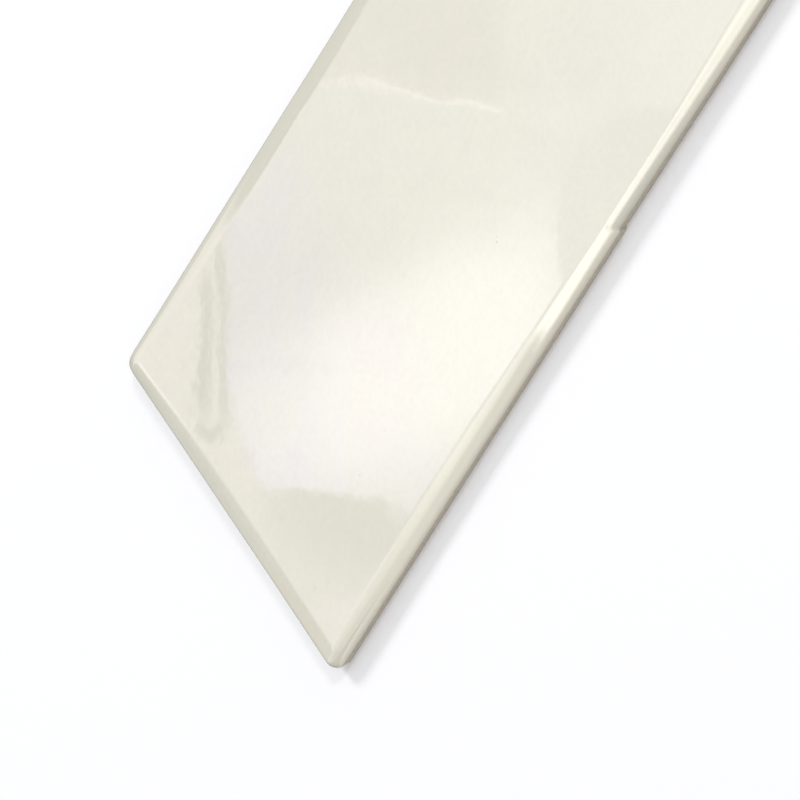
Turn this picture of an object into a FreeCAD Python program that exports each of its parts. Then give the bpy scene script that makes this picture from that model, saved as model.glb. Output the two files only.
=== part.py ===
# Glazed ceramic wall tile of the long subway form: pressed, glazed and fired as one piece.
# It lies on its back. +X runs along the tile, +Z points out of the glazed face, and the
# origin is the centre of the ribbed back. All sizes are millimetres.

import FreeCAD, Part
import Sketcher
import math
import os

from FreeCAD import Placement, Vector

doc = FreeCAD.newDocument("subway_tile")
sheet = doc.addObject("Spreadsheet::Sheet", "sizes")

SIZES = [
    # The whole tile.
    ("tile_length", 300.0, "end to end"),
    ("tile_width", 100.0, "side to side"),
    ("tile_thickness", 6.5, "back to the highest glaze"),
    ("corner_radius", 2.2, "plan corners"),
    # Sides: a glazed lip stands over a bare foot that tapers in towards the back.
    ("foot_height", 2.7, "bare foot"),
    ("foot_inset", 1.0, "taper of the foot"),
    # The glazed face rolls down to the lip along all four sides.
    ("roll_width", 5.2, "mean width of the rolled edge"),
    ("roll_width_near", 2.8, "the same on the near side, where the roll is tighter"),
    ("roll_depth", 1.3, "drop from the face to the lip"),
    ("roll_wander", 1.1, "how far the roll widens and narrows"),
    ("roll_period", 180.0, "one widening of the roll"),
    ("roll_lead_end", 70.0, "degrees of that wave at the middle of an end"),
    ("roll_lead_far", -120.0, "the same for the far side"),
    ("roll_lead_near", -90.0, "the same for the near side"),
    # Slow waves of the glazed face.
    ("swell_height", 0.22, "long waves"),
    ("swell_period", 118.0, "long waves"),
    ("swell_heading", 25.0, "long waves, degrees from the length"),
    ("ripple_height", 0.08, "short waves"),
    ("ripple_period", 52.0, "short waves"),
    ("ripple_heading", 10.0, "short waves, degrees from the length"),
    # Keys pressed into the back, which hold the adhesive.
    ("key_columns", 13, "keys along the tile"),
    ("key_rows", 4, "keys across the tile"),
    ("key_rib", 4.0, "rib between two keys"),
    ("key_depth", 0.8, "depth of a key"),
    ("key_draft", 20.0, "slope of the walls of a key, degrees"),
    ("back_margin", 6.0, "plain rim round the keys"),
    # The near side steps in by a little, and comes back to its line over a long run.
    ("jog_place", -14.5, "from the middle of the side"),
    ("jog_depth", 0.6, "into the side"),
    ("jog_start", 0.6, "run of the step itself"),
    ("jog_length", 60.0, "step and run back together"),
]
for row, (name, value, note) in enumerate(SIZES, start=1):
    sheet.set(f"A{row}", name)
    sheet.set(f"B{row}", str(value))
    sheet.set(f"C{row}", note)
    sheet.setAlias(f"B{row}", name)
doc.recompute()


def size(name):
    return float(sheet.get(name))


def origin_item(body, role):
    return next(item for item in body.Origin.OriginFeatures if item.Role == role)


def back_sketch(body, name):
    """A sketch on the plane of the back, seen from the glazed side."""
    sketch = body.newObject("Sketcher::SketchObject", name)
    sketch.AttachmentSupport = (origin_item(body, "XY_Plane"), "")
    sketch.MapMode = "FlatFace"
    return sketch


def bind(sketch, name, expression, *constraint):
    """Add one dimension to a sketch and tie it to the sheet."""
    sketch.addConstraint(Sketcher.Constraint(*constraint))
    sketch.renameConstraint(sketch.ConstraintCount - 1, name)
    sketch.setExpression(f"Constraints.{name}", expression)


def draw_rectangle(sketch, corners):
    """Four straight sides through the corners, the first one along X, tied end to end."""
    for start, end in zip(corners, corners[1:] + corners[:1]):
        sketch.addGeometry(Part.LineSegment(Vector(*start, 0), Vector(*end, 0)))
    for side in range(4):
        sketch.addConstraint(Sketcher.Constraint("Coincident", side, 2, (side + 1) % 4, 1))
        sketch.addConstraint(Sketcher.Constraint("Vertical" if side % 2 else "Horizontal", side))


def draw_plan(sketch):
    """The tile seen from above: a quarter arc at each corner, and the step in the near side."""
    half_x = size("tile_length") / 2
    half_y = size("tile_width") / 2
    radius = size("corner_radius")
    flat_x = half_x - radius
    flat_y = half_y - radius
    jog = size("jog_place")
    jog_corner = (jog + size("jog_start"), size("jog_depth") - half_y)
    jog_end = (jog + size("jog_length"), -half_y)
    sides = [
        (jog_end, (flat_x, -half_y)),
        ((half_x, -flat_y), (half_x, flat_y)),
        ((flat_x, half_y), (-flat_x, half_y)),
        ((-half_x, flat_y), (-half_x, -flat_y)),
        ((-flat_x, -half_y), (jog, -half_y)),
        ((jog, -half_y), jog_corner),
        (jog_corner, jog_end),
    ]
    for start, end in sides:
        sketch.addGeometry(Part.LineSegment(Vector(*start, 0), Vector(*end, 0)))
    for side, direction in enumerate(["Horizontal", "Vertical", "Horizontal", "Vertical", "Horizontal"]):
        sketch.addConstraint(Sketcher.Constraint(direction, side))
    for before, after in [(4, 5), (5, 6), (6, 0)]:
        sketch.addConstraint(Sketcher.Constraint("Coincident", before, 2, after, 1))

    centres = [(flat_x, -flat_y), (flat_x, flat_y), (-flat_x, flat_y), (-flat_x, -flat_y)]
    for corner, centre in enumerate(centres):
        circle = Part.Circle(Vector(*centre, 0), Vector(0, 0, 1), radius)
        start = (corner - 1) * math.pi / 2
        arc = sketch.addGeometry(Part.ArcOfCircle(circle, start, start + math.pi / 2))
        sketch.addConstraint(Sketcher.Constraint("Tangent", corner, 2, arc, 1))
        sketch.addConstraint(Sketcher.Constraint("Tangent", arc, 2, corner + 1, 1))
        if corner:
            sketch.addConstraint(Sketcher.Constraint("Equal", arc - 1, arc))
    bind(sketch, "corner", "sizes.corner_radius", "Radius", arc, radius)
    bind(sketch, "to_right", "sizes.tile_length / 2", "DistanceX", -1, 1, 1, 1, half_x)
    bind(sketch, "to_left", "sizes.tile_length / 2", "DistanceX", 3, 1, -1, 1, half_x)
    bind(sketch, "to_far", "sizes.tile_width / 2", "DistanceY", -1, 1, 2, 1, half_y)
    bind(sketch, "to_near", "sizes.tile_width / 2", "DistanceY", 0, 1, -1, 1, half_y)
    bind(sketch, "to_near_again", "sizes.tile_width / 2", "DistanceY", 4, 1, -1, 1, half_y)
    bind(sketch, "jog_from_middle", "sizes.jog_place", "DistanceX", -1, 1, 5, 1, jog)
    bind(sketch, "jog_run", "sizes.jog_start", "DistanceX", 5, 1, 5, 2, size("jog_start"))
    bind(sketch, "jog_in", "sizes.jog_depth", "DistanceY", 5, 1, 5, 2, size("jog_depth"))
    bind(sketch, "jog_back", "sizes.jog_length", "DistanceX", 5, 1, 6, 2, size("jog_length"))


def press_blank(body):
    """The slab, a little thicker than the tile, over a foot with the draft of the mould."""
    plan = back_sketch(body, "plan")
    plan.setExpression("AttachmentOffset.Base.z", "sizes.foot_height")
    draw_plan(plan)

    slab = body.newObject("PartDesign::Pad", "slab")
    slab.Profile = plan
    slab.setExpression("Length", "sizes.tile_thickness + sizes.roll_depth - sizes.foot_height")
    doc.recompute()

    foot = body.newObject("PartDesign::Pad", "foot")
    foot.Profile = plan
    foot.Reversed = True
    foot.setExpression("Length", "sizes.foot_height")
    foot.setExpression("TaperAngle", "-atan(sizes.foot_inset / sizes.foot_height)")
    doc.recompute()
    return foot


def press_keys(body):
    """One key at a corner of the back, then the whole field by a pattern in two directions."""
    along = "((sizes.tile_length - 2 * sizes.back_margin + sizes.key_rib) / sizes.key_columns)"
    across = "((sizes.tile_width - 2 * sizes.back_margin + sizes.key_rib) / sizes.key_rows)"
    left = size("back_margin") - size("tile_length") / 2
    near = size("back_margin") - size("tile_width") / 2
    guess = size("back_margin")
    outline = back_sketch(body, "key_outline")
    draw_rectangle(
        outline,
        [(left, near), (left + guess, near), (left + guess, near + guess), (left, near + guess)],
    )
    bind(outline, "key_along", f"{along} - sizes.key_rib", "DistanceX", 0, 1, 0, 2, guess)
    bind(outline, "key_across", f"{across} - sizes.key_rib", "DistanceY", 1, 1, 1, 2, guess)
    bind(outline, "from_middle_x", "sizes.tile_length / 2 - sizes.back_margin",
         "DistanceX", 0, 1, -1, 1, -left)
    bind(outline, "from_middle_y", "sizes.tile_width / 2 - sizes.back_margin",
         "DistanceY", 0, 1, -1, 1, -near)

    key = body.newObject("PartDesign::Pocket", "key")
    key.Profile = outline
    key.Reversed = True
    key.setExpression("Length", "sizes.key_depth")
    key.setExpression("TaperAngle", "-sizes.key_draft")
    doc.recompute()

    field = body.newObject("PartDesign::LinearPattern", "key_field")
    field.Originals = [key]
    field.Mode = "Extent"
    field.Mode2 = "Extent"
    field.Direction = (outline, ["H_Axis"])
    field.Direction2 = (outline, ["V_Axis"])
    field.setExpression("Length", f"{along} * (sizes.key_columns - 1)")
    field.setExpression("Length2", f"{across} * (sizes.key_rows - 1)")
    field.setExpression("Occurrences", "sizes.key_columns")
    field.setExpression("Occurrences2", "sizes.key_rows")
    body.Tip = field
    doc.recompute()
    return field


def roll_drop(x, y):
    """How far the rolled edge has come down at a place on the face."""
    reach_x = size("tile_length") / 2
    reach_y = size("tile_width") / 2
    turn = 2 * math.pi / size("roll_period")
    lead_end = math.radians(size("roll_lead_end"))
    lead_side = math.radians(size("roll_lead_far") if y > 0 else size("roll_lead_near"))
    side_width = size("roll_width") if y > 0 else size("roll_width_near")
    along_end = math.copysign(y, x * y)
    end_roll = size("roll_width") + size("roll_wander") * math.sin(turn * along_end + lead_end)
    side_roll = side_width + size("roll_wander") * math.sin(turn * x + lead_side)
    past_end = max(0.0, abs(x) - reach_x + end_roll) / end_roll
    past_side = max(0.0, abs(y) - reach_y + side_roll) / side_roll
    return size("roll_depth") * (past_end ** 2 + past_side ** 2)


def glaze_wave(x, y, kind):
    """One set of crossing waves, from nothing on its crests to its whole height in its troughs."""
    turn = 2 * math.pi / size(f"{kind}_period")
    heading = math.radians(size(f"{kind}_heading"))
    along = x * math.cos(heading) + y * math.sin(heading)
    across = y * math.cos(heading) - x * math.sin(heading)
    return 0.5 * size(f"{kind}_height") * (1 + math.sin(turn * along) * math.cos(turn * across))


def glaze_dip(x, y):
    """How far the waves of the glaze lie under the highest point of the face."""
    return glaze_wave(x, y, "swell") + glaze_wave(x, y, "ripple")


def grid_line(reach, roll, overhang, step):
    """Places along one axis: close together on the rolls, wide apart on the face."""
    inner = reach - roll
    fewest_spans = 4
    edge_count = 10
    span_count = max(fewest_spans, math.ceil(2 * inner / step))
    face = [-inner + 2 * inner * number / span_count for number in range(span_count + 1)]
    edge = [inner + (roll + overhang) * number / edge_count for number in range(1, edge_count + 1)]
    return [-place for place in reversed(edge)] + face + edge


def glaze_surface():
    """One smooth surface over the whole face, rolls and waves together."""
    roll = size("roll_width") + size("roll_wander")
    overhang = size("roll_width_near") / 2
    step = size("ripple_period") / 5
    places_x = grid_line(size("tile_length") / 2, roll, overhang, step)
    places_y = grid_line(size("tile_width") / 2, roll, overhang, step)
    top = size("tile_thickness")
    points = [
        [Vector(x, y, top - roll_drop(x, y) - glaze_dip(x, y)) for y in places_y] for x in places_x
    ]
    surface = Part.BSplineSurface()
    surface.interpolate(points)
    return surface


def glaze_trim():
    """Everything that lies above the glazed face, as a solid to cut away."""
    trim = doc.addObject("Part::Feature", "glaze_trim")
    trim.Shape = glaze_surface().toShape().extrude(Vector(0, 0, 2 * size("tile_thickness")))
    return trim


def cut(name, base, tool):
    result = doc.addObject("Part::Cut", name)
    result.Base = base
    result.Tool = tool
    doc.recompute()
    if not result.Shape.Volume < base.Shape.Volume:
        raise RuntimeError(f"{name} removed nothing")
    return result


def check_document():
    for item in doc.Objects:
        if "Invalid" in item.State or "Error" in item.State:
            raise RuntimeError(f"{item.Name} failed: {item.State}")


def make_tile():
    body = doc.addObject("PartDesign::Body", "blank")
    foot = press_blank(body)
    solid_back = foot.Shape.Volume
    field = press_keys(body)
    if not field.Shape.Volume < solid_back:
        raise RuntimeError("the keys removed nothing")
    tile = cut("tile", body, glaze_trim())
    tile.Label = "tile"
    tile.Placement = Placement()
    return tile


tile = make_tile()
doc.recompute()
check_document()
if tile.Shape.isNull() or not tile.Shape.isValid() or len(tile.Shape.Solids) != 1:
    raise RuntimeError("the tile is not one valid solid")

os.makedirs("parts", exist_ok=True)
tile.Shape.exportStep(f"parts/{tile.Label}.step")
print("tile volume in cm3:", round(tile.Shape.Volume / 1000, 2), "box:", tile.Shape.BoundBox)
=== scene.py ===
import bpy
import math
import numpy as np
from mathutils import Matrix, Vector


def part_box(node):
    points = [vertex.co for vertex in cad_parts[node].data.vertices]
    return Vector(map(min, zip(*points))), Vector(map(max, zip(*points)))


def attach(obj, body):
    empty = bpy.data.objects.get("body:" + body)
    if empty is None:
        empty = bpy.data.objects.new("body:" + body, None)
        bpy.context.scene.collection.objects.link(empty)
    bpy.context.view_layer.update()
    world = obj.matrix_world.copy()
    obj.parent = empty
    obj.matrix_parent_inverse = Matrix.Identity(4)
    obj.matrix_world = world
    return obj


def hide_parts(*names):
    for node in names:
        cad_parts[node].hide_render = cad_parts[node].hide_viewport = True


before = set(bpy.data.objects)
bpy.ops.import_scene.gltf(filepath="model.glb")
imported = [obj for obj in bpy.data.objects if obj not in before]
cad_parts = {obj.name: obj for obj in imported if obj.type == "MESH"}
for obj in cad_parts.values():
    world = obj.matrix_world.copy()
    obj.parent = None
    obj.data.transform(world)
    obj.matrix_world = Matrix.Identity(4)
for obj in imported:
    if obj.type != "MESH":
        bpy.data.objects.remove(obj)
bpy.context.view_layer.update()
scene = bpy.context.scene
scene.view_settings.view_transform = "Standard"


# The tile
# One piece of pressed pale clay, flooded with a warm white glaze and fired once more. The glaze
# runs over all four edges and stops above a bare foot, and the back keeps the mould's keys.

lowest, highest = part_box("tile")
tile_length, tile_width, tile_height = highest - lowest
corner_radius = 0.0022
foot_height = 0.0027
foot_inset = 0.0010
roll_width = 0.0052
roll_width_near = 0.0028
roll_depth = 0.0013
roll_wander = 0.0011
roll_period = 0.180
roll_lead_end = math.radians(70)
roll_lead_far = math.radians(-120)
roll_lead_near = math.radians(-90)
arris_radius = 0.0012
arris_drop = 0.0018
swell_height = 0.00022
swell_period = 0.118
swell_heading = math.radians(25)
ripple_height = 0.00008
ripple_period = 0.052
ripple_heading = math.radians(10)
jog_place = -0.0145
jog_depth = 0.0006
jog_start = 0.0006
jog_length = 0.060
key_columns = 13
key_rows = 4
key_rib = 0.0040
key_depth = 0.0008
key_draft = math.radians(20)
back_margin = 0.0060
foot_levels = 6
lip_levels = 6
sharp_angle = math.radians(38)

shape_inputs = {
    "Length": tile_length, "Width": tile_width, "Height": tile_height,
    "Corner Radius": corner_radius, "Foot Height": foot_height, "Foot Inset": foot_inset,
    "Roll Width": roll_width, "Roll Width Near": roll_width_near, "Roll Depth": roll_depth,
    "Roll Wander": roll_wander, "Roll Period": roll_period, "Roll Lead End": roll_lead_end,
    "Roll Lead Far": roll_lead_far, "Roll Lead Near": roll_lead_near,
    "Arris Radius": arris_radius, "Arris Drop": arris_drop,
    "Swell Height": swell_height, "Swell Period": swell_period, "Swell Heading": swell_heading,
    "Ripple Height": ripple_height, "Ripple Period": ripple_period,
    "Ripple Heading": ripple_heading,
    "Jog Place": jog_place, "Jog Depth": jog_depth, "Jog Start": jog_start,
    "Jog Length": jog_length,
    "Key Columns": key_columns, "Key Rows": key_rows, "Key Rib": key_rib,
    "Key Depth": key_depth, "Key Draft": key_draft, "Back Margin": back_margin,
}


def lattice_lines(reach, keys, also=()):
    """Places of the mesh lines along one axis: crowded at the edges, one on each edge of a key."""
    edge_steps = 14
    crowding = 1.5
    floor_steps = 12
    rib_steps = 3
    edge = [back_margin * (step / edge_steps) ** crowding for step in range(edge_steps)]
    pitch = (2 * (reach - back_margin) + key_rib) / keys
    draft = key_depth * math.tan(key_draft)
    lines = [-reach + place for place in edge]
    for number in range(keys):
        start = back_margin - reach + number * pitch
        end = start + pitch - key_rib
        lines.append(start)
        lines.extend(np.linspace(start + draft, end - draft, floor_steps + 1))
        lines.append(end)
        if number < keys - 1:
            lines.extend(end + key_rib * step / rib_steps for step in range(1, rib_steps))
    lines.extend(reach - place for place in reversed(edge))
    return np.unique(np.round(np.concatenate([lines, also]), 6))


def pressed_blank():
    """A closed slab on the lattice: back, face and stacked loops of side, with no form as yet."""
    jog_lines = [jog_place + run for run in (0, jog_start / 2, jog_start, jog_length)]
    lines_x = lattice_lines(tile_length / 2, key_columns, jog_lines)
    lines_y = lattice_lines(tile_width / 2, key_rows)
    count_x, count_y = len(lines_x), len(lines_y)
    plan = np.array([(x, y) for x in lines_x for y in lines_y])
    levels = foot_levels + lip_levels

    def at(i, j):
        return i * count_y + j

    rim = [at(i, 0) for i in range(count_x)]
    rim += [at(count_x - 1, j) for j in range(1, count_y)]
    rim += [at(i, count_y - 1) for i in range(count_x - 2, -1, -1)]
    rim += [at(0, j) for j in range(count_y - 2, 0, -1)]

    cells = [(at(i, j), at(i + 1, j), at(i + 1, j + 1), at(i, j + 1))
             for i in range(count_x - 1) for j in range(count_y - 1)]
    sheet = len(plan)
    faces = [cell[::-1] for cell in cells]
    faces += [tuple(sheet + corner for corner in cell) for cell in cells]
    places = [plan, plan]
    heights = [np.zeros(sheet), np.full(sheet, levels)]
    loops = [rim]
    for level in range(1, levels):
        first = 2 * sheet + (level - 1) * len(rim)
        loops.append(list(range(first, first + len(rim))))
        places.append(plan[rim])
        heights.append(np.full(len(rim), level))
    loops.append([sheet + corner for corner in rim])
    for lower, upper in zip(loops, loops[1:]):
        for here in range(len(rim)):
            there = (here + 1) % len(rim)
            faces.append((lower[here], lower[there], upper[there], upper[here]))

    heights = np.concatenate(heights)
    points = np.column_stack([np.concatenate(places), heights * tile_height / levels])
    mesh = bpy.data.meshes.new("tile_blank")
    mesh.from_pydata(points.tolist(), [], faces)
    level_kept = mesh.attributes.new("level", "FLOAT", "POINT")
    level_kept.data.foreach_set("value", heights.astype(np.float32))
    mesh.update()
    return mesh


class Number:
    """A number on its way through a node tree, so that a rule reads like plain arithmetic."""

    def __init__(self, tree, socket):
        self.tree = tree
        self.socket = socket

    def math(self, operation, *others, flipped=False):
        node = self.tree.nodes.new("ShaderNodeMath")
        node.operation = operation
        terms = (*others, self) if flipped else (self, *others)
        for slot, term in zip(node.inputs, terms):
            set_or_link(slot, term)
        return Number(self.tree, node.outputs[0])

    def __add__(self, other):
        return self.math("ADD", other)

    def __sub__(self, other):
        return self.math("SUBTRACT", other)

    def __rsub__(self, other):
        return self.math("SUBTRACT", other, flipped=True)

    def __mul__(self, other):
        return self.math("MULTIPLY", other)

    def __truediv__(self, other):
        return self.math("DIVIDE", other)

    def __rtruediv__(self, other):
        return self.math("DIVIDE", other, flipped=True)

    def __pow__(self, other):
        return self.math("POWER", other)

    __radd__ = __add__
    __rmul__ = __mul__

    def at_least(self, other):
        return self.math("MAXIMUM", other)

    def at_most(self, other):
        return self.math("MINIMUM", other)

    def above(self, other):
        return self.math("GREATER_THAN", other)

    def wave(self):
        return self.math("SINE")

    def size(self):
        return self.math("ABSOLUTE")

    def sign(self):
        return self.math("SIGN")

    def root(self):
        return self.math("SQRT")


def set_or_link(slot, term):
    """A socket takes a Number by a link, and a plain value as it is."""
    if isinstance(term, Number):
        term.tree.links.new(term.socket, slot)
    else:
        slot.default_value = term


def choose(switch, if_one, if_zero):
    """if_one where switch is 1, if_zero where it is 0."""
    return if_zero + switch * (if_one - if_zero)


def tile_tree():
    """The rule of the tile's form: rounded corners, tapered foot, rolled edges, waves and keys."""
    tree = bpy.data.node_groups.new("Shaped tile", "GeometryNodeTree")
    tree.interface.new_socket("Geometry", in_out="INPUT", socket_type="NodeSocketGeometry")
    for name in shape_inputs:
        tree.interface.new_socket(name, in_out="INPUT", socket_type="NodeSocketFloat")
    tree.interface.new_socket("Material", in_out="INPUT", socket_type="NodeSocketMaterial")
    tree.interface.new_socket("Geometry", in_out="OUTPUT", socket_type="NodeSocketGeometry")
    entry = tree.nodes.new("NodeGroupInput")
    given = {name: Number(tree, entry.outputs[name]) for name in shape_inputs}

    position = tree.nodes.new("GeometryNodeInputPosition")
    parts = tree.nodes.new("ShaderNodeSeparateXYZ")
    tree.links.new(position.outputs[0], parts.inputs[0])
    x, y = Number(tree, parts.outputs["X"]), Number(tree, parts.outputs["Y"])
    named = tree.nodes.new("GeometryNodeInputNamedAttribute")
    named.data_type = "FLOAT"
    named.inputs["Name"].default_value = "level"
    level = Number(tree, named.outputs["Attribute"])

    reach_x, reach_y = given["Length"] / 2, given["Width"] / 2

    # The plan: round corners, and the small step in the near side.
    not_zero = 1e-12
    margin = given["Back Margin"]
    radius = given["Corner Radius"]
    corner_x = (x.size() - reach_x + radius).at_least(0)
    corner_y = (y.size() - reach_y + radius).at_least(0)
    diagonal = (corner_x ** 2 + corner_y ** 2 + not_zero).root()
    rounding = corner_x.at_least(corner_y) / diagonal
    plan_x = x.sign() * (x.size() - corner_x * (1 - rounding))
    plan_y = y.sign() * (y.size() - corner_y * (1 - rounding))
    past_jog = plan_x - given["Jog Place"]
    step_in = (past_jog / given["Jog Start"]).at_least(0).at_most(1)
    run_back = given["Jog Length"] - given["Jog Start"]
    step_back = ((given["Jog Length"] - past_jog) / run_back).at_least(0)
    near_share = ((margin - reach_y - plan_y) / margin).at_least(0)
    plan_y = plan_y + given["Jog Depth"] * step_in.at_most(step_back) * near_share

    # Waves of the glaze, one set long and one short.
    dip = 0
    for kind in ("Swell", "Ripple"):
        turn = 2 * math.pi / given[kind + " Period"]
        heading = given[kind + " Heading"]
        ahead, aside = heading.math("COSINE"), heading.math("SINE")
        along = turn * (plan_x * ahead + plan_y * aside)
        across = turn * (plan_y * ahead - plan_x * aside)
        crest = 1 + along.wave() * (across + math.pi / 2).wave()
        dip = dip + 0.5 * given[kind + " Height"] * crest

    # The rolled edge widens and narrows along each side, and ends in a small round arris.
    turn = 2 * math.pi / given["Roll Period"]
    is_far = plan_y.above(0)
    lead_side = choose(is_far, given["Roll Lead Far"], given["Roll Lead Near"])
    side_width = choose(is_far, given["Roll Width"], given["Roll Width Near"])
    along_end = plan_y * plan_x.sign()
    wander = given["Roll Wander"]
    end_roll = given["Roll Width"] + wander * (turn * along_end + given["Roll Lead End"]).wave()
    side_roll = side_width + wander * (turn * plan_x + lead_side).wave()
    past_end = (plan_x.size() - reach_x + end_roll).at_least(0) / end_roll
    past_side = (plan_y.size() - reach_y + side_roll).at_least(0) / side_roll
    past_edge = past_end ** 2 + past_side ** 2
    arris = given["Arris Radius"]
    over_end = (x.size() - reach_x + arris).at_least(0) / arris
    over_side = (y.size() - reach_y + arris).at_least(0) / arris
    over = (over_end ** 2 + over_side ** 2).at_most(1)
    arris_fall = given["Arris Drop"] * (1 - (1 - over).root())
    face = given["Height"] - dip - given["Roll Depth"] * past_edge - arris_fall

    # Keys: the lattice has a line on each edge of a key, and what lies inside is lifted.
    tolerance = 1e-5
    draft = given["Key Depth"] * given["Key Draft"].math("TANGENT")
    within = []
    for place, reach, keys in ((x, reach_x, "Key Columns"), (y, reach_y, "Key Rows")):
        field = reach - margin
        pitch = (2 * field + given["Key Rib"]) / given[keys]
        from_first = place + field + given["Key Rib"] / 2
        across = from_first.math("FLOORED_MODULO", pitch) - pitch / 2
        floor_half = (pitch - given["Key Rib"]) / 2 - draft
        within.append((floor_half + tolerance).above(across.size()) * field.above(place.size()))
    back = within[0] * within[1] * given["Key Depth"]

    # Sides: the foot up to the glaze line, and the lip from there to the face.
    up_foot = level / foot_levels
    up_lip = (level - foot_levels) / lip_levels
    foot_z = given["Foot Height"] * up_foot
    lip_z = given["Foot Height"] + (face - given["Foot Height"]) * up_lip
    side_z = choose(level.above(foot_levels), lip_z, foot_z)
    z = choose(level.above(0.5), side_z, back)

    # The foot tapers in towards the back.
    inset = given["Foot Inset"] * (1 - up_foot).at_least(0)
    moved = []
    for place, reach in ((plan_x, reach_x), (plan_y, reach_y)):
        share = ((place.size() - reach + margin) / margin).at_least(0)
        moved.append(place - place.sign() * inset * share)

    combine = tree.nodes.new("ShaderNodeCombineXYZ")
    for slot, value in zip(combine.inputs, (*moved, z)):
        set_or_link(slot, value)
    shape = tree.nodes.new("GeometryNodeSetPosition")
    tree.links.new(entry.outputs["Geometry"], shape.inputs["Geometry"])
    tree.links.new(combine.outputs[0], shape.inputs["Position"])

    # How far over the rolled edge a place lies, kept for the rolls' thinning glaze and their painted
    # light and shade.
    store = tree.nodes.new("GeometryNodeStoreNamedAttribute")
    store.data_type = "FLOAT"
    store.domain = "POINT"
    store.inputs["Name"].default_value = "roll"
    tree.links.new(shape.outputs[0], store.inputs["Geometry"])
    set_or_link(store.inputs["Value"], past_edge.root().at_most(1))

    real = tree.nodes.new("GeometryNodeRealizeInstances")
    dress = tree.nodes.new("GeometryNodeSetMaterial")
    leave = tree.nodes.new("NodeGroupOutput")
    tree.links.new(store.outputs[0], real.inputs[0])
    tree.links.new(real.outputs[0], dress.inputs["Geometry"])
    tree.links.new(entry.outputs["Material"], dress.inputs["Material"])
    tree.links.new(dress.outputs[0], leave.inputs[0])
    return tree


glaze_warm = (0.684, 0.670, 0.568)
glaze_cool = (0.646, 0.629, 0.542)
# Painted light: the near roll and its lip, which lie in less light, are painted lighter than the
# face.
near_roll_painted_light = (0.790, 0.750, 0.620)
# The far roll: thinner glaze, and painted shade that keeps it darker than the face though the far
# lamp lights it.
far_roll_thinner_glaze_and_shade = (0.640, 0.625, 0.532)
# Painted light: the left end's roll, which gets little light, is painted lighter than the face.
end_roll_painted_light = (0.715, 0.690, 0.590)
# Darker and browner down the lip to the foot: partly thinning glaze, partly painted shade near the
# floor.
lip_brown_and_painted_shade = (0.45, 0.40, 0.31)
glaze_index = 1.68
pinhole_colour = (0.36, 0.33, 0.28)
clay_dark = (0.35, 0.31, 0.25)
clay_pale = (0.47, 0.42, 0.345)
far_roll_start, far_roll_full = 0.030, 0.040
end_roll_start, end_roll_full = 0.003 - tile_length / 2, 0.001 - tile_length / 2
near_roll_full = 0.001 - tile_width / 2
lip_thinning_and_shade_reach = 0.0020
bare_wander = 0.0006
bare_soft = 0.0001
cloud_scale = 14.0
mottle_scale, mottle_share = 650.0, 0.8
patch_scale, patch_share = 170.0, 0.5
bare_line_scale = 120.0
gloss_scale, gloss_least, gloss_spread = 60.0, 0.03, 0.02
peel_scale, peel_height = 220.0, 0.00001
grain_scale, grain_height = 900.0, 0.00012
clay_roughness, clay_spread = 0.85, 0.1
pinhole_floor, pinhole_full = 0.0045, 0.0050
# Each pinhole in the glaze: its place and its radius, in millimetres.
pinholes = [(-41.4, -24.8, 0.45), (-40.5, -24.1, 0.30), (-97.9, -26.5, 0.25),
            (-110.6, -27.4, 0.30), (-106.9, 31.3, 0.22), (-93.6, 20.2, 0.25),
            (-137.0, 42.6, 0.20), (-139.1, -34.2, 0.25)]


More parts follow.
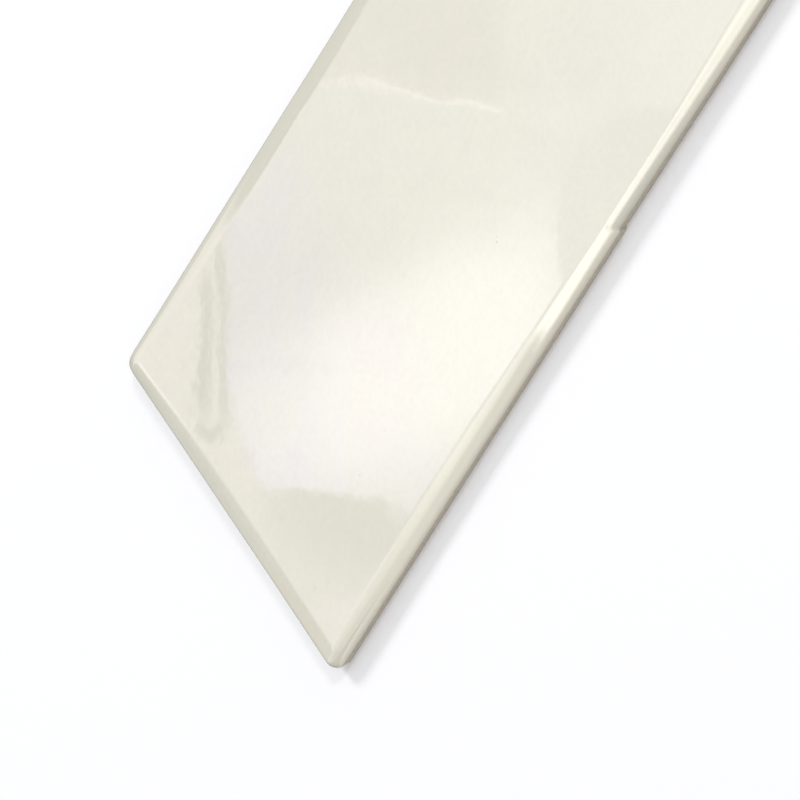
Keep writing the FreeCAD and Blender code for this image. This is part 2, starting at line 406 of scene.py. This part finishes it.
def glazed_clay():
    """Warm white glaze over pale clay: glossy on the face, painted lighter or darker on the rolls,
    brown and darker down the lip, bare below.
    """
    material = bpy.data.materials.new("glazed_clay")
    material.use_nodes = True
    tree = material.node_tree
    shader = tree.nodes["Principled BSDF"]
    place = tree.nodes.new("ShaderNodeTexCoord")
    parts = tree.nodes.new("ShaderNodeSeparateXYZ")
    tree.links.new(place.outputs["Object"], parts.inputs[0])
    x, y, z = (Number(tree, parts.outputs[axis]) for axis in "XYZ")
    attribute = tree.nodes.new("ShaderNodeAttribute")
    attribute.attribute_name = "roll"
    roll = Number(tree, attribute.outputs["Fac"])

    def noise(scale, detail=3.0, roughness=0.5):
        node = tree.nodes.new("ShaderNodeTexNoise")
        node.inputs["Scale"].default_value = scale
        node.inputs["Detail"].default_value = detail
        node.inputs["Roughness"].default_value = roughness
        tree.links.new(place.outputs["Object"], node.inputs["Vector"])
        return Number(tree, node.outputs["Fac"])

    def mixed(factor, first, second):
        node = tree.nodes.new("ShaderNodeMix")
        node.data_type = "RGBA"
        tree.links.new(factor.socket, node.inputs["Factor"])
        for slot, colour in ((node.inputs[6], first), (node.inputs[7], second)):
            if isinstance(colour, tuple):
                slot.default_value = (*colour, 1.0)
            else:
                tree.links.new(colour, slot)
        return node.outputs[2]

    def between(value, low, high):
        return ((value - low) / (high - low)).at_least(0).at_most(1)

    # The glaze: slow clouds with a fine mottle, and painted light and shade on the rolled edges.
    mottle = mottle_share * (noise(mottle_scale, detail=2.0) - 0.5)
    patches = patch_share * (noise(patch_scale) - 0.5)
    cloud = noise(cloud_scale) + mottle + patches
    glaze = mixed(between(cloud, 0.25, 0.75), glaze_warm, glaze_cool)
    # Painted light on the near and end rolls, and painted shade with thinner glaze on the far roll.
    glaze = mixed(roll * between(y, 0.0, near_roll_full), glaze, near_roll_painted_light)
    far = between(y, far_roll_start, far_roll_full) * between(roll, 0.0, 0.5)
    glaze = mixed(far, glaze, far_roll_thinner_glaze_and_shade)
    end = between(x, end_roll_start, end_roll_full)
    glaze = mixed(end * roll * (1 - far), glaze, end_roll_painted_light)
    pierced = 0
    for at_x, at_y, radius in pinholes:
        away = (1000 * x - at_x) ** 2 + (1000 * y - at_y) ** 2
        pierced = pierced + between(away, radius ** 2, 0.2 * radius ** 2)
    pierced = pierced * between(z, pinhole_floor, pinhole_full)
    glaze = mixed(0.35 * pierced, glaze, pinhole_colour)

    # It thins and browns towards the line where it stops, and is darker down the lip, partly the
    # thinning glaze and partly painted shade near the floor; the clay is bare below.
    from_line = z + bare_wander * (noise(bare_line_scale) - 0.5)
    lip_thinning_and_shade = between(from_line, foot_height + lip_thinning_and_shade_reach, foot_height) ** 1.5
    glaze = mixed(0.5 * lip_thinning_and_shade, glaze, lip_brown_and_painted_shade)
    bare = between(from_line, foot_height + bare_soft, foot_height - bare_soft)
    grain = noise(grain_scale, detail=6.0, roughness=0.7)
    clay = mixed(between(grain, 0.3, 0.7), clay_dark, clay_pale)
    tree.links.new(mixed(bare, glaze, clay), shader.inputs["Base Color"])
    polish = gloss_least + gloss_spread * noise(gloss_scale)
    roughness = choose(bare, clay_roughness + clay_spread * grain, polish)
    set_or_link(shader.inputs["Roughness"], roughness)
    shader.inputs["IOR"].default_value = glaze_index

    bump = tree.nodes.new("ShaderNodeBump")
    bump.inputs["Distance"].default_value = 1.0
    bump.inputs["Strength"].default_value = 1.0
    relief = choose(bare, grain_height * grain, peel_height * noise(peel_scale, detail=2.0))
    set_or_link(bump.inputs["Height"], relief)
    tree.links.new(bump.outputs[0], shader.inputs["Normal"])
    return material


def shaped_tile():
    blank = bpy.data.objects.new("shaped_blank", pressed_blank())
    scene.collection.objects.link(blank)
    modifier = blank.modifiers.new("shape", "NODES")
    tree = tile_tree()
    modifier.node_group = tree
    sockets = {item.name: item.identifier for item in tree.interface.items_tree
               if item.in_out == "INPUT"}
    for name, value in shape_inputs.items():
        modifier[sockets[name]] = float(value)
    modifier[sockets["Material"]] = glazed_clay()
    ready = blank.evaluated_get(bpy.context.evaluated_depsgraph_get())
    mesh = bpy.data.meshes.new_from_object(ready)
    bpy.data.objects.remove(blank)
    for polygon in mesh.polygons:
        polygon.use_smooth = True
    mesh.set_sharp_from_angle(angle=sharp_angle)
    mesh.name = "glazed_tile"
    return bpy.data.objects.new("glazed_tile", mesh)


tile = shaped_tile()
scene.collection.objects.link(tile)
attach(tile, "root")
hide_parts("tile")


# The ground
# A level sheet of white paper. It is white wherever nothing shades it, and keeps the tile's soft
# shadow: a faint glow of its own lifts what the camera and the glaze see of it.

ground_half = 4.0
paper_white = (0.794, 0.794, 0.808)
paper_glow = 0.085


def seen_directly(tree):
    """1 for what the camera sees, itself or mirrored in the glaze, and 0 for what gives light."""
    ray = tree.nodes.new("ShaderNodeLightPath")
    by_camera = Number(tree, ray.outputs["Is Camera Ray"])
    return by_camera.at_least(Number(tree, ray.outputs["Is Glossy Ray"]))


def white_paper():
    material = bpy.data.materials.new("white_paper")
    material.use_nodes = True
    tree = material.node_tree
    sheet = tree.nodes["Principled BSDF"]
    sheet.inputs["Base Color"].default_value = (*paper_white, 1)
    sheet.inputs["Roughness"].default_value = 1.0
    sheet.inputs["Specular IOR Level"].default_value = 0.0
    glow = tree.nodes.new("ShaderNodeEmission")
    glow.inputs["Color"].default_value = (1, 1, 1, 1)
    set_or_link(glow.inputs["Strength"], paper_glow * seen_directly(tree))
    both = tree.nodes.new("ShaderNodeAddShader")
    tree.links.new(sheet.outputs[0], both.inputs[0])
    tree.links.new(glow.outputs[0], both.inputs[1])
    tree.links.new(both.outputs[0], tree.nodes["Material Output"].inputs["Surface"])
    return material


ground_mesh = bpy.data.meshes.new("ground")
ground_mesh.from_pydata(
    [(-ground_half, -ground_half, 0), (ground_half, -ground_half, 0),
     (ground_half, ground_half, 0), (-ground_half, ground_half, 0)], [], [(0, 1, 2, 3)])
ground_mesh.materials.append(white_paper())
ground = bpy.data.objects.new("ground", ground_mesh)
scene.collection.objects.link(ground)


# The camera
# It looks down on the tile from the near right, turned on its side, through a long lens. The
# middle of the picture is aimed by a shift along the picture's own right and up.

camera_azimuth = math.radians(43.38)
camera_elevation = math.radians(41.0)
camera_roll = math.radians(-89.40)
camera_distance = 4.923
camera_lens = 1000.0
camera_sensor = 36.0
aim_right = -0.0336
aim_up = -0.0820

back = Vector((math.sin(camera_azimuth) * math.cos(camera_elevation),
               -math.cos(camera_azimuth) * math.cos(camera_elevation),
               math.sin(camera_elevation)))
level_right = Vector((0, 0, 1)).cross(back).normalized()
level_up = back.cross(level_right)
right = math.cos(camera_roll) * level_right + math.sin(camera_roll) * level_up
up = math.cos(camera_roll) * level_up - math.sin(camera_roll) * level_right
camera = bpy.data.cameras.new("camera")
camera.lens = camera_lens
camera.sensor_width = camera_sensor
camera.clip_end = 20.0
viewer = bpy.data.objects.new("camera", camera)
stand = aim_right * right + aim_up * up + camera_distance * back
turned = Matrix((right, up, back)).transposed().to_4x4()
viewer.matrix_world = Matrix.Translation(stand) @ turned
scene.collection.objects.link(viewer)
scene.camera = viewer


# The light
# A pale room, one broad lamp high on the far side and a small one beyond the right end. The
# cards round the tile give no light: the glaze only mirrors a softbox, a curve and two flags.

room_colour = (0.98, 0.985, 1.0)
room_strength = 0.79
world = bpy.data.worlds.new("pale_room")
scene.world = world
world.use_nodes = True
room = world.node_tree.nodes["Background"]
room.inputs["Color"].default_value = (*room_colour, 1)
set_or_link(room.inputs["Strength"], seen_directly(world.node_tree).at_least(room_strength))


def square_lamp(name, place, side, power):
    lamp = bpy.data.lights.new(name, "AREA")
    lamp.shape = "RECTANGLE"
    lamp.size = side
    lamp.size_y = side
    lamp.energy = power
    holder = bpy.data.objects.new(name, lamp)
    holder.location = place
    holder.rotation_euler = (-Vector(place)).to_track_quat("-Z", "Y").to_euler()
    holder.visible_camera = False
    scene.collection.objects.link(holder)


square_lamp("far_lamp", place=(0.30, 3.00, 2.80), side=0.9, power=66.0)
square_lamp("end_lamp", place=(2.35, -0.15, 2.0), side=0.4, power=18.0)


def mirrored_card(name, points, faces, cloth, marks):
    """A card that only the glaze sees. Its marks say where on it, or on the tile, a place is."""
    mesh = bpy.data.meshes.new(name)
    mesh.from_pydata(points, [], faces)
    layer = mesh.uv_layers.new(name="marks")
    for loop in mesh.loops:
        layer.data[loop.index].uv = marks[loop.vertex_index]
    mesh.materials.append(cloth)
    card = bpy.data.objects.new(name, mesh)
    card.visible_camera = False
    card.visible_diffuse = False
    card.visible_shadow = False
    scene.collection.objects.link(card)


def card_cloth(name, rule):
    """Light whose red, green and blue follow a rule of the two marks on the card."""
    material = bpy.data.materials.new(name)
    material.use_nodes = True
    tree = material.node_tree
    tree.nodes.clear()
    place = tree.nodes.new("ShaderNodeUVMap")
    place.uv_map = "marks"
    parts = tree.nodes.new("ShaderNodeSeparateXYZ")
    tree.links.new(place.outputs[0], parts.inputs[0])
    colour = tree.nodes.new("ShaderNodeCombineColor")
    levels = rule(Number(tree, parts.outputs["X"]), Number(tree, parts.outputs["Y"]))
    for slot, level in zip(colour.inputs, levels):
        set_or_link(slot, level)
    emission = tree.nodes.new("ShaderNodeEmission")
    output = tree.nodes.new("ShaderNodeOutputMaterial")
    tree.links.new(colour.outputs[0], emission.inputs["Color"])
    tree.links.new(emission.outputs[0], output.inputs["Surface"])
    return material


def beyond(value, place, soft):
    """0 below place and 1 above it, with a soft border."""
    return ((value - place) / soft + 0.5).at_least(0).at_most(1)


def inside(value, low, high, soft):
    """1 between low and high, with soft borders."""
    return beyond(value, low, soft) * (1 - beyond(value, high, soft))


def line(value, place, width, strength=1.0):
    """A soft line that is strongest at place and gone at width from it."""
    return (strength * (1 - ((value - place) / width).size()).at_least(0)).at_most(1)


def distance(across, rise, middle):
    return ((across - middle[0]) ** 2 + (rise - middle[1]) ** 2).root()


def cloth_noise(across, rise, scale):
    tree = across.tree
    place = tree.nodes.new("ShaderNodeCombineXYZ")
    node = tree.nodes.new("ShaderNodeTexNoise")
    node.inputs["Scale"].default_value = scale
    tree.links.new(across.socket, place.inputs[0])
    tree.links.new(rise.socket, place.inputs[1])
    tree.links.new(place.outputs[0], node.inputs["Vector"])
    return Number(tree, node.outputs["Fac"])


# The softbox hangs where the flat glaze mirrors the camera. Its front is drawn in the mirrored
# picture's own millimetres, across and up from the middle of its reflection.
softbox_distance = 0.40
softbox_aim = Vector((-0.0717, -0.0058, 0.0063))
softbox_left, softbox_right = -210.0, 190.0
softbox_bottom, softbox_top = -230.0, 160.0


def panel_top(across, rise):
    """The upper border of the lit panel: it slopes down to the right and waves a little."""
    middle, slope, wave_height = 46.6, -0.237, 2.2
    wave = wave_height * cloth_noise(across, 0.3 * rise, scale=0.25)
    return middle + slope * across + wave + cloth_noise(across, rise, scale=0.8)


def panel_share(across, rise, top):
    """1 on the lit panel: its lower left is cut off at a slant, and a drip hangs at its foot."""
    panel_left, panel_right, panel_bottom, crisp = -41.3, 45.5, -49.8, 0.8
    cut_across, cut_rise, cut_slope, blurred = -41.0, -26.0, 2.2, 9.0
    drip, drip_radius = (5.5, -50.3), 3.5
    panel = inside(across, panel_left, panel_right, crisp) * beyond(rise, panel_bottom, crisp)
    panel = panel * (1 - beyond(rise - top, 0.0, crisp))
    past_cut = rise - cut_rise + cut_slope * (across - cut_across)
    panel = panel * beyond(past_cut, 0.0, blurred)
    return panel.at_least(1 - beyond(distance(across, rise, drip), drip_radius, soft=1.0))


def panel_light(across, rise):
    """The lit cloth: a slanting glow low on the right, crossed by two seams that are darker."""
    plain, upper_lift, upper_place, glow_strength = 1.40, 0.30, 18.0, 2.14
    glow_across, glow_rise = 15.0, -15.0
    glow_tilt = math.radians(31)
    glow_length, glow_width = 62.0, 25.0
    # Each seam: its height at the middle, its slope, its two ends, and how dark it is.
    seams = [(25.5, -0.15, -12.0, 38.0, 0.12), (-20.5, 0.0, -39.0, -10.0, 0.14)]
    ahead, aside = math.cos(glow_tilt), math.sin(glow_tilt)
    long_way = (across - glow_across) * ahead + (rise - glow_rise) * aside
    short_way = (rise - glow_rise) * ahead - (across - glow_across) * aside
    spread = (long_way / glow_length) ** 2 + (short_way / glow_width) ** 2
    glow = (-1 * spread ** 1.3).math("EXPONENT")
    light = plain + upper_lift * beyond(rise, upper_place, soft=20.0) + glow_strength * glow
    for height, slope, start, end, darkness in seams:
        seam = line(rise, height + slope * across, width=1.5) * inside(across, start, end, soft=4.0)
        light = light * (1 - darkness * seam)
    return light


def lilac_share(across, rise):
    """Cool blotches on the left half of the panel."""
    lean, left_end, right_end = 0.45, -90.0, -9.0
    low_end, high_end = -60.0, 36.0
    blotch = beyond(cloth_noise(across, 0.5 * rise, scale=0.11), 0.5, soft=0.16)
    half = inside(across + lean * rise, left_end, right_end, soft=24.0)
    return half * inside(rise, low_end, high_end, soft=20.0) * (0.5 + 0.9 * blotch)


def room_light(across, rise):
    """The room left of the panel and below it: a dark rim below, and two hanging dark cords."""
    plain, floor_lift, floor_line = 1.60, 0.3, -68.0
    rim_darkness, rim_top, rim_left, rim_right = 0.58, -40.0, -30.0, 40.0
    first_place, first_foot, first_head = -49.0, -32.0, 6.0
    second_place, second_lean, second_foot, second_head = -43.2, -0.05, -33.0, 14.0
    hook, hook_radius, hook_foot = (-46.5, -33.5), 3.0, -40.0
    rim = inside(rise, floor_line, rim_top, soft=20.0) * inside(across, rim_left, rim_right, soft=8.0)
    first_cord = line(across, first_place, width=2.8, strength=1.8)
    first_cord = first_cord * inside(rise, first_foot, first_head, soft=8.0)
    second_cord = line(across, second_place + second_lean * rise, width=2.0, strength=1.6)
    second_cord = second_cord * inside(rise, second_foot, second_head, soft=8.0)
    bend = line(distance(across, rise, hook), hook_radius, width=1.8, strength=1.5)
    bend = bend * inside(rise, hook_foot, hook[1], soft=1.0)
    dark = (rim_darkness * rim).at_least(first_cord).at_least(second_cord).at_least(bend)
    return plain * (1 - dark) * (1 + floor_lift * (1 - beyond(rise, floor_line, soft=16.0)))


def wall_light(across, rise, top):
    """The wall above the panel and right of it: paler to the right, and just over the panel."""
    plain, step, step_place, paling, paling_place = 1.22, 0.36, 25.0, 0.70, 50.0
    over_panel, over_reach = 0.24, 8.0
    wall = plain + step * beyond(across, step_place, soft=6.0)
    wall = wall + paling * beyond(across, paling_place, soft=40.0)
    return wall + over_panel * (1 - beyond(rise - top, over_reach, soft=10.0))


def dark_patch_share(across, rise):
    """0 in the round-nosed dark patch on the upper right, and 1 outside it."""
    nose_across, nose_rise, nose_radius = 58.0, 28.6, 12.6
    left_of_it = (nose_across - across).at_least(0)
    above_it = (rise - nose_rise).at_least(0)
    return beyond((left_of_it ** 2 + above_it ** 2).root(), nose_radius, soft=1.0)


def past_rolled_edges(across, rise, around):
    """What the rolls of the far side and the left end look at: pale by the corner, dark away."""
    side_light, side_fall, side_start, side_slope = 1.8, 1.0, -56.0, 1.42
    end_light, end_across, end_rise, end_slope = 2.9, -65.0, -14.0, 1.25
    high_across, high_rise, high_slope, low_rise = -110.0, 57.0, 0.5, -37.0
    by_side = rise - side_slope * (across - side_start)
    by_end = -end_slope * (across - end_across) - (rise - end_rise)
    high = beyond(rise + high_slope * (across - high_across), high_rise, soft=12.0)
    low = 1 - beyond(rise, low_rise, soft=12.0)
    along_side = side_light - side_fall * beyond(by_side, 170.0, soft=260.0)
    around = choose(beyond(by_side, 3.0, soft=14.0) * (1 - high), along_side, around)
    end_only = beyond(by_end, 6.0, soft=8.0) * (1 - beyond(by_side, 8.0, soft=8.0))
    around = choose(end_only * (1 - low), end_light, around)
    around = around * (1 - beyond(by_side, 14.0, soft=26.0) * high)
    return around * (1 - beyond(by_end, 34.0, soft=60.0) * low)


def softbox_rule(across, rise):
    wall_foot, wall_left, dark_patch = 41.0, 30.0, 1.70
    bright_line, line_start, line_end = 1.9, -14.0, 25.0
    cloth_tint, warm_tint, lilac_tint = (1.0, 0.94, 0.98), (0.0, -0.07, -0.06), (-0.15, -0.25, 0.30)
    top = panel_top(across, rise)
    panel = panel_share(across, rise, top)
    lilac = lilac_share(across, rise) * panel
    is_wall = beyond(rise, wall_foot, soft=1.2).at_least(beyond(across, wall_left, soft=2.0))
    around = choose(is_wall, wall_light(across, rise, top), room_light(across, rise))
    around = choose(dark_patch_share(across, rise), around, dark_patch)
    around = past_rolled_edges(across, rise, around)
    strip = line(rise - top, 1.0, width=0.9, strength=1.5)
    strip = strip * inside(across, line_start, line_end, soft=1.0)
    strip = strip * (0.35 + 1.5 * cloth_noise(across, rise, scale=0.4))

    glow = choose(panel, panel_light(across, rise), around) + bright_line * strip
    warm = 1 - beyond(across, 25.0, soft=30.0).at_least(panel)
    return [glow * (tint + warmer * warm) + cooler * lilac
            for tint, warmer, cooler in zip(cloth_tint, warm_tint, lilac_tint)]


def softbox_corner(across, rise):
    """Where a place of the mirrored picture hangs: the picture's frame, turned over at the face."""
    mirror_right = Vector((right.x, right.y, -right.z))
    mirror_up = Vector((up.x, up.y, -up.z))
    mirror_back = Vector((-back.x, -back.y, back.z))
    middle = softbox_aim + softbox_distance * mirror_back
    return middle + 0.001 * (across * mirror_right + rise * mirror_up)


softbox_marks = [(softbox_left, softbox_bottom), (softbox_right, softbox_bottom),
                 (softbox_right, softbox_top), (softbox_left, softbox_top)]
mirrored_card("softbox", [softbox_corner(*mark) for mark in softbox_marks], [(0, 1, 2, 3)],
              card_cloth("softbox_cloth", softbox_rule), softbox_marks)

# A curved card along the near side, and on the floor up to it: the rolled edge mirrors it at any
# slope. Its marks are the place along the tile where the edge mirrors it, in millimetres, and
# the degrees above the floor.
curve_radius = 0.30
curve_ends = (-0.33, 0.10)
curve_start, curve_sweep, curve_steps = 4, 114, 14
apron_radii = (0.006, 0.010, 0.020, 0.050, 0.150)
apron_drop = 0.005
apron_clearance = 0.0004
mirrored_slant = 0.606


def curve_rule(along, turn):
    """Lit cloth right of one place along the tile, and dim cloth left of it."""
    lit_from, lit_low, lit_high = -47.0, -12.0, 108.0
    fading_from, paler_from, paler_above = 22.0, -93.0, 85.0
    warm_tint = (1.0, 0.97, 0.88)
    lit = 0.8 + 5.7 * inside(turn, lit_low, lit_high, soft=34.0)
    lit = lit * (1.04 - 0.27 * beyond(along, fading_from, soft=50.0))
    paler = beyond(along, paler_from, soft=30.0) * beyond(turn, paler_above, soft=40.0)
    level = choose(beyond(along, lit_from, soft=10.0), lit, 1.4 + 1.5 * paler)
    return [tint * level for tint in warm_tint]


rows = [(-math.degrees(math.atan(apron_drop / radius)), radius) for radius in apron_radii]
rows += [(curve_start + curve_sweep * step / curve_steps, curve_radius)
         for step in range(curve_steps + 1)]
curve_points, curve_marks = [], []
for turn, radius in rows:
    y = -tile_width / 2 - radius * math.cos(math.radians(max(turn, 0)))
    z = max(apron_clearance, radius * math.sin(math.radians(turn)))
    curve_points.extend((x, y, z) for x in curve_ends)
    curve_marks.extend((1000 * (x + mirrored_slant * radius), turn) for x in curve_ends)
curve_faces = [(first, first + 1, first + 3, first + 2)
               for first in range(0, len(curve_points) - 2, 2)]
mirrored_card("edge_card", curve_points, curve_faces, card_cloth("edge_cloth", curve_rule),
              curve_marks)

# Two black flags just outside the left end and the far side darken the rolled edges there.
flag_gap = 0.003
flag_depth = 0.087
flag_low, flag_high = 0.0005, 0.040
flag_black = 0.02
end_flag_x = -tile_length / 2 - flag_gap
end_flag_reach = (-0.12, 0.30)
far_flag_y = tile_width / 2 + flag_gap
far_flag_reach = (-0.30, 0.30)
black = card_cloth("black_cloth", lambda across, rise: (flag_black,) * 3)


def leaning_flag(name, foot, lean):
    """A flag whose foot runs between two places on the floor, and whose top leans away."""
    first, second = (Vector((*place, flag_low)) for place in foot)
    out = Vector((*lean, flag_high - flag_low))
    corners = [first, second, second + out, first + out]
    mirrored_card(name, corners, [(0, 1, 2, 3)], black, [(0, 0)] * 4)


leaning_flag("end_flag", [(end_flag_x, y) for y in end_flag_reach], (-flag_depth, 0))
leaning_flag("far_flag", [(x, far_flag_y) for x in far_flag_reach], (0, flag_depth))
